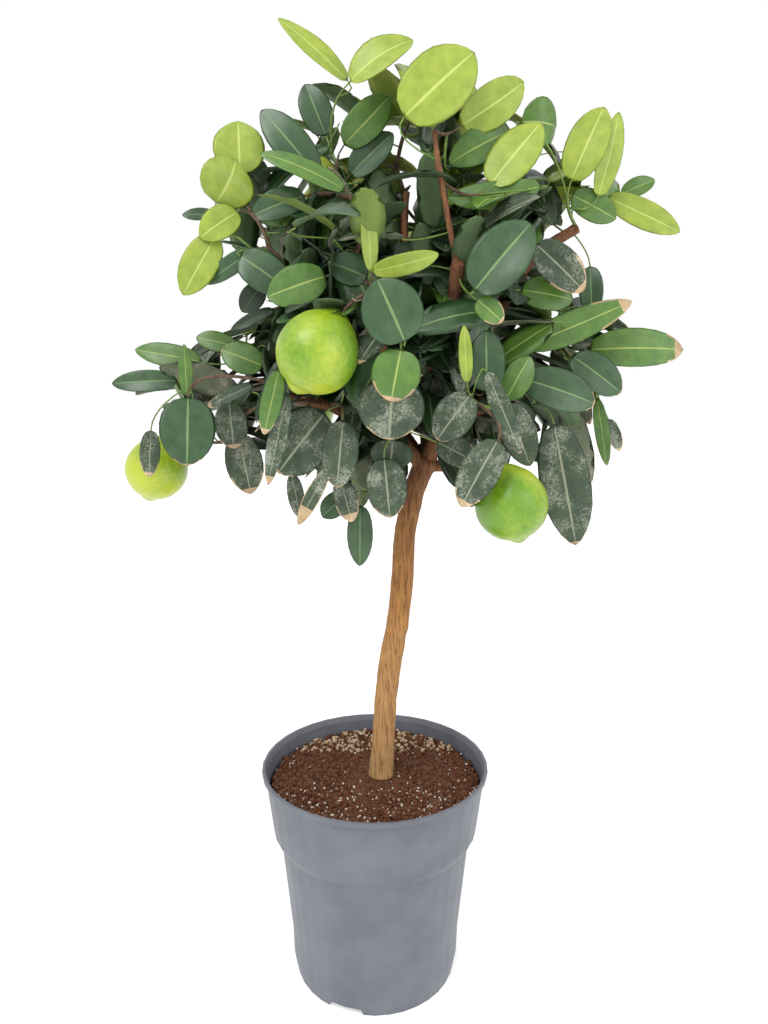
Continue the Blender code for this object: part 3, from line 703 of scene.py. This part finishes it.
def may_fill(points):
    """Whether a filling leaf keeps inside the outline, off the gaps and behind the shown leaves."""
    for point in points:
        u, v = pixel_of(point)
        if not inside_outline(u, v):
            return False
        for gap_u, gap_v, reach in SKY_GAPS:
            if math.hypot(u - gap_u, v - gap_v) < reach:
                return False
        for disc_u, disc_v, reach, depth in COVER:
            if math.hypot(u - disc_u, v - disc_v) < reach and point.y < (depth + 6) * MM:
                return False
    return True


# Leaves wanted in each mass, behind and in front of BACK_Y, and the draws allowed for each
FILL_BACK, FILL_FRONT, BACK_Y, FILL_TRIES = 26, 20, 0.03, 14
LOW_CROWN_Z, TOP_CROWN_Z = 0.53, 0.70
CROWN_HEART = Vector((0.030, 0.010, 0.560))


def fill_crown():
    """Fills each mass of foliage with leaves whose tips reach its surface, facing up and out."""
    wanted = []
    for name in sorted(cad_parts):
        if not name.startswith("foliage_"):
            continue
        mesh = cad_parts[name].data
        mesh.calc_loop_triangles()
        corners = [vert.co.copy() for vert in mesh.vertices]
        triangles = list(mesh.loop_triangles)
        areas = [triangle.area for triangle in triangles]
        low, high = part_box(name)
        count = FILL_BACK if (low.y + high.y) / 2 > BACK_Y else FILL_FRONT
        made = tries = 0
        while made < count and tries < count * FILL_TRIES:
            tries += 1
            face = draw.choices(triangles, areas)[0]
            a, b = sorted((draw.random(), draw.random()))
            p, q, r = (corners[i] for i in face.vertices)
            spot = p * a + q * (b - a) + r * (1 - b)
            outward = (spot - CROWN_HEART).normalized()
            drift = Vector([draw.gauss(0, 0.55) for _ in range(3)])
            axis = (outward + drift + Vector((0, 0, -0.25))).normalized()
            length = draw.uniform(46, 78) * MM
            tip = spot - outward * draw.uniform(2, 16) * MM
            base = tip - axis * length
            up = (Vector((0, 0, 1.0)) + outward * 0.5 + Vector([draw.gauss(0, 0.35) for _ in range(3)]))
            width = length * draw.uniform(0.40, 0.56)
            side = up.cross(axis).normalized() * width * 0.45
            middle = (base + tip) / 2
            if not may_fill((base, tip, middle + side, middle - side, middle)):
                continue
            # The dark kind drawn here is painted shade: a darker copy of the leaf greens.
            if spot.z > TOP_CROWN_Z and draw.random() < 0.5:
                kind = "young"
            elif spot.z < LOW_CROWN_Z:
                kind = draw.choices(("dusty", "dark", "grown"), (4, 3, 2))[0]
            else:
                kind = draw.choices(("grown", "dark", "fresh", "dusty"), (5, 4, 2, 1))[0]
            dry = draw.choice((0, 0, 0.2, 0.35)) if kind == "dusty" else 0
            wanted.append((base, tip, up, width, kind, dry))
            made += 1
    wanted.sort(key=lambda row: (row[0] - CROWN_HEART).length)
    for base, tip, up, width, kind, dry in wanted:
        growth.reach(base, (tip - base).normalized())
        leaf_shape(leaves_fill, base, tip, up, width, kind, bend=draw.uniform(0.02, 0.12), dry=dry,
                   fold=draw.uniform(0.15, 0.45), fine=False)


fill_crown()

rind = rind_finish("lime rind, pebbled")


def lime_shape(middle, radius, nose):
    """One lime: a slightly long ball with a nipple at its nose and a neck at its stalk."""
    bpy.ops.mesh.primitive_uv_sphere_add(segments=56, ring_count=36, radius=1.0)
    lime = bpy.context.object
    turn = nose.to_track_quat("Z", "Y").to_matrix()
    for vert in lime.data.vertices:
        co = vert.co.copy()
        along = co.z
        bulge = 1.0 + 0.05 * along - 0.03 * along * along
        furrow = 0.035 * math.exp(-((1 - along - 0.055) / 0.03) ** 2)
        nipple = 0.11 * math.exp(-((1 - along) / 0.035)) - furrow
        neck = 0.08 * math.exp(-((1 + along) / 0.05))
        long = 1.04 + nipple + neck
        shape = Vector((co.x * bulge, co.y * bulge, co.z * long))
        lumps = 0.012 * noise.noise(co * 2.3 + middle * 50)
        pits = 0.0035 * noise.noise(co * 22 + middle * 50)
        vert.co = middle + turn @ (shape * (radius * (1 + lumps + pits)))
    lime.data.shade_smooth()
    lime.data.materials.append(rind)
    bpy.ops.object.select_all(action="DESELECT")
    return lime


def make_limes():
    """The limes, each on a short stalk from the nearest wood, joined as one piece."""
    hung = []
    for lime in LIMES:
        middle = seen_at(lime.u, lime.v, lime.depth)
        radius = lime.wide / 2 * (lime.depth * MM - EYE.y) / PIXELS_FOCAL
        hung.append((middle, radius, (seen_at(lime.nose_u, lime.nose_v, lime.depth) - middle).normalized()))
    for place in HIDDEN_LIMES:
        hung.append((Vector(place), LIME_RADIUS, HIDDEN_NOSE))
    made = []
    for middle, radius, nose in hung:
        made.append(lime_shape(middle, radius, nose))
        growth.reach(middle - nose * radius * LIME_NECK, nose, load=LIME_LOAD, stalk=LIME_STALK)
    for lime in made:
        lime.select_set(True)
    bpy.context.view_layer.objects.active = made[0]
    bpy.ops.object.join()
    made[0].name = "limes"
    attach(made[0], "root")


make_limes()

# Pieces
masses = [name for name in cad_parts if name.startswith("foliage_")]
leaves_front.piece("leaves_shown", leaf_materials, "leaves_grown", masses)
leaves_fill.piece("leaves_filling", leaf_materials, "leaves_grown")
twigs_green, twigs_brown = Soup(), Soup()
growth.shapes(twigs_green, twigs_brown)
green_bark = twig_finish("new citrus shoot, green", "6F8A3C", "58742F", 0.55)
brown_bark = twig_finish("old citrus twig, brown", "6B5540", "463628", 0.80)
twigs_green.piece("twigs_green", [green_bark], "bough_bark")
twigs_brown.piece("twigs_brown", [brown_bark], "bough_bark")

# Pot and potting mix
for node, finish in (("pot", pot_finish()), ("soil", soil_finish("moist peat mix", "3A2317", "75503A", 3.0))):
    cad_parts[node].data.materials.clear()
    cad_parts[node].data.materials.append(finish)
SOIL_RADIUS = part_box("soil")[1].x - 1.5 * MM
CRUMB_LEVEL = 0.1782
TRUNK_FOOT_X, CLEAR_OF_TRUNK = 0.0053, 11 * MM


def scatter_crumbs(name, finish, count, sizes, rise, weight):
    """Crumbs lying on the potting mix, each a squashed uneven pebble."""
    soup = Soup()
    ball = bmesh.new()
    bmesh.ops.create_icosphere(ball, subdivisions=1, radius=1.0)
    corners = [vert.co.copy() for vert in ball.verts]
    faces = [tuple(vert.index for vert in face.verts) for face in ball.faces]
    ball.free()
    made = 0
    while made < count:
        radius = SOIL_RADIUS * math.sqrt(draw.random())
        angle = draw.uniform(0, math.tau)
        x, y = radius * math.cos(angle), radius * math.sin(angle)
        if draw.random() > weight(x, y) or math.hypot(x - TRUNK_FOOT_X, y) < CLEAR_OF_TRUNK:
            continue
        size = draw.uniform(*sizes) * MM
        turn = Euler([draw.uniform(0, math.tau) for _ in range(3)]).to_matrix()
        stretch = Vector((draw.uniform(0.7, 1.4), draw.uniform(0.7, 1.2), draw.uniform(0.5, 0.9)))
        middle = Vector((x, y, CRUMB_LEVEL + rise * size))
        points = []
        for corner in corners:
            rough = 1 + 0.25 * draw.uniform(-1, 1)
            points.append(middle + turn @ Vector([c * s * size * rough for c, s in zip(corner, stretch)]))
        soup.extend(points, faces, [0] * len(faces))
        made += 1
    soup.piece(name, [finish], "potting_mix")


# Perlite lies thickest towards the front, and dry fibre only along the back
scatter_crumbs("peat_crumbs", soil_finish("peat and bark crumbs", "3B2216", "7A4E34", 4.0), 2600,
               (0.8, 2.4), 0.2, lambda x, y: 1.0)
scatter_crumbs("perlite", soil_finish("white perlite", "B5AA9C", "E6DED2", 3.0), 420,
               (0.5, 1.3), 0.6, lambda x, y: 0.25 + 0.75 * (y < -0.02))
scatter_crumbs("pale_fibre", soil_finish("pale dry fibre", "8B7259", "C7B496", 4.0), 260,
               (1.0, 2.6), 0.5, lambda x, y: float(y > 0.045))

# Ground, light and camera
bpy.ops.mesh.primitive_plane_add(size=12, location=(0, 3, -0.0002))
ground = bpy.context.object
ground.name = "ground"
ground_finish, _, ground_shader = new_finish("white studio paper", Roughness=0.9)
ground_shader.inputs["Base Color"].default_value = (0.86, 0.86, 0.86, 1.0)
ground_shader.inputs["Emission Color"].default_value = (1.0, 1.0, 1.0, 1.0)
ground_shader.inputs["Emission Strength"].default_value = 0.35
ground.data.materials.append(ground_finish)

world = bpy.data.worlds.new("pale surroundings")
world.use_nodes = True
world.node_tree.nodes["Background"].inputs["Color"].default_value = (1.0, 1.0, 1.0, 1.0)
world.node_tree.nodes["Background"].inputs["Strength"].default_value = 1.0
bpy.context.scene.world = world


def soft_light(name, place, aim, size, power):
    """A square soft light at a place, aimed at a point."""
    lamp = bpy.data.lights.new(name, "AREA")
    lamp.size = size
    lamp.energy = power
    holder = bpy.data.objects.new(name, lamp)
    holder.location = place
    holder.rotation_euler = (Vector(aim) - Vector(place)).to_track_quat("-Z", "Y").to_euler()
    bpy.context.scene.collection.objects.link(holder)


soft_light("key", (-0.9, -1.3, 2.0), (0.0, 0.0, 0.5), 1.2, 26.0)
soft_light("fill", (1.2, -1.2, 1.0), (0.0, 0.0, 0.45), 1.2, 8.0)

lens = bpy.data.cameras.new("view")
lens.sensor_fit = "VERTICAL"
lens.sensor_height = SENSOR_MM
lens.lens = LENS_MM
camera = bpy.data.objects.new("view", lens)
camera.location = EYE
camera.rotation_euler = (math.pi / 2 - LOOK_DOWN, 0.0, 0.0)
bpy.context.scene.collection.objects.link(camera)
bpy.context.scene.camera = camera
bpy.context.scene.view_settings.view_transform = "Standard"
